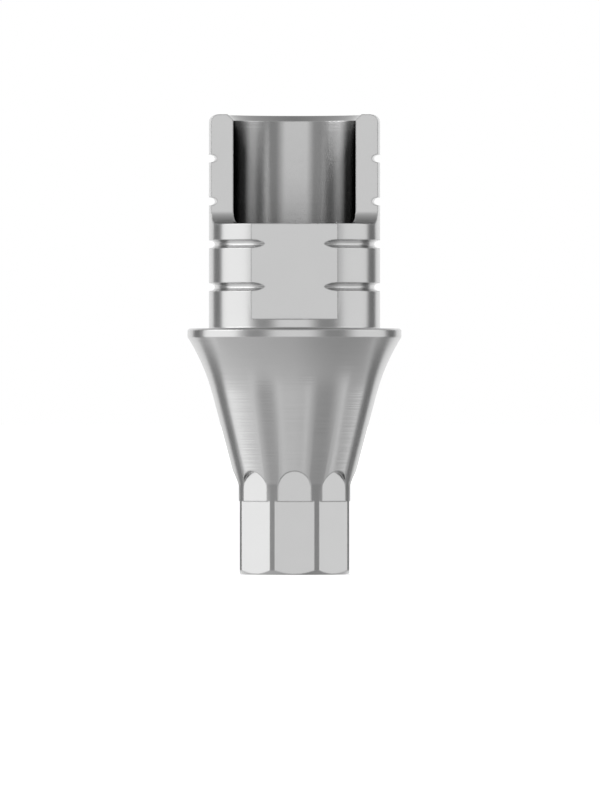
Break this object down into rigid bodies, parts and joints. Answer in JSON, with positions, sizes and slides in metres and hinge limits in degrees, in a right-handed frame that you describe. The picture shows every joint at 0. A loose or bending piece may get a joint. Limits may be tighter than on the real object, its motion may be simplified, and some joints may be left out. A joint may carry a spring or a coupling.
{
  "type": "dental abutment",
  "caption": "Titanium base abutment for a dental implant: a grooved bonding chimney with a side window for an angled screw, a flared collar, a cone and an octagonal index.",
  "frame": {"origin": "centre of the end face of the index, on which the part stands", "axes": "+Z along the axis from the index to the mouth of the chimney; the window and the front flat face -Y"},
  "size_m": [0.005, 0.005, 0.0107],
  "materials": {
    "titanium": "satin polished titanium alloy with fine turning and milling marks"
  },
  "bodies": {
    "root": {"abutment_body": "titanium"}
  },
  "joints": []
}
